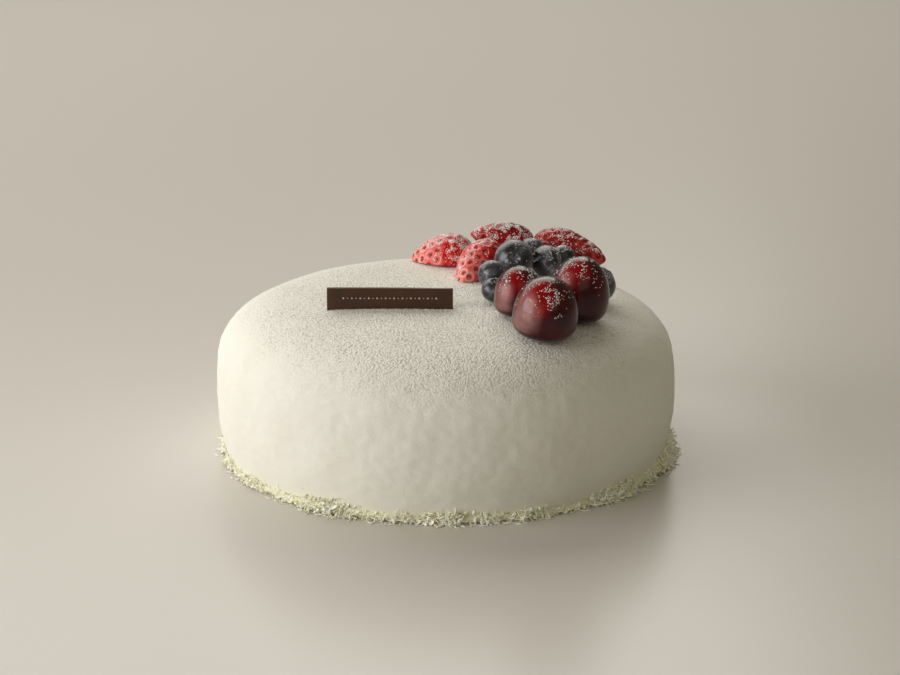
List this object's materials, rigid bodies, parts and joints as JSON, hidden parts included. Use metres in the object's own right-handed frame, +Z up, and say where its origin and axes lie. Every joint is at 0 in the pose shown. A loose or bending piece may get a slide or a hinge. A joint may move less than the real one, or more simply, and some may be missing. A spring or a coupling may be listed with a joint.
{
  "type": "round white cake with fruit",
  "caption": "Round white velvet-coated cake with soft shoulders, fine white shreds round its foot, a plain dark chocolate bar and cherries, blueberries and strawberries on top.",
  "frame": {"origin": "middle of the flat underside that the cake rests on", "axes": "+Z up, -Y towards the front that the picture shows, +X to its right"},
  "size_m": [0.1845, 0.1817, 0.0856],
  "materials": {
    "velvet_coating": "matt warm white, sandy grain over the top and shoulders, smooth on the side",
    "white_shreds": "matt cream white, slightly see-through strips",
    "dark_chocolate": "satin dark brown",
    "cherry_skin": "smooth dark red with a soft shine and a thin bloom",
    "blueberry_skin": "blue-black with a grey bloom",
    "strawberry_flesh": "moist red, paler at the tip, with pits and seeds",
    "sugar_dust": "matt white grains"
  },
  "bodies": {
    "root": {"cake": "velvet_coating", "chocolate_bar": "dark_chocolate", "cherry_front": "cherry_skin", "cherry_right": "cherry_skin", "cherry_left": "cherry_skin", "blueberry_1": "blueberry_skin", "blueberry_2": "blueberry_skin", "blueberry_3": "blueberry_skin", "blueberry_4": "blueberry_skin", "blueberry_5": "blueberry_skin", "blueberry_6": "blueberry_skin", "blueberry_7": "blueberry_skin", "strawberry_1": "strawberry_flesh", "strawberry_2": "strawberry_flesh", "strawberry_3": "strawberry_flesh", "strawberry_4": "strawberry_flesh"}
  },
  "joints": []
}
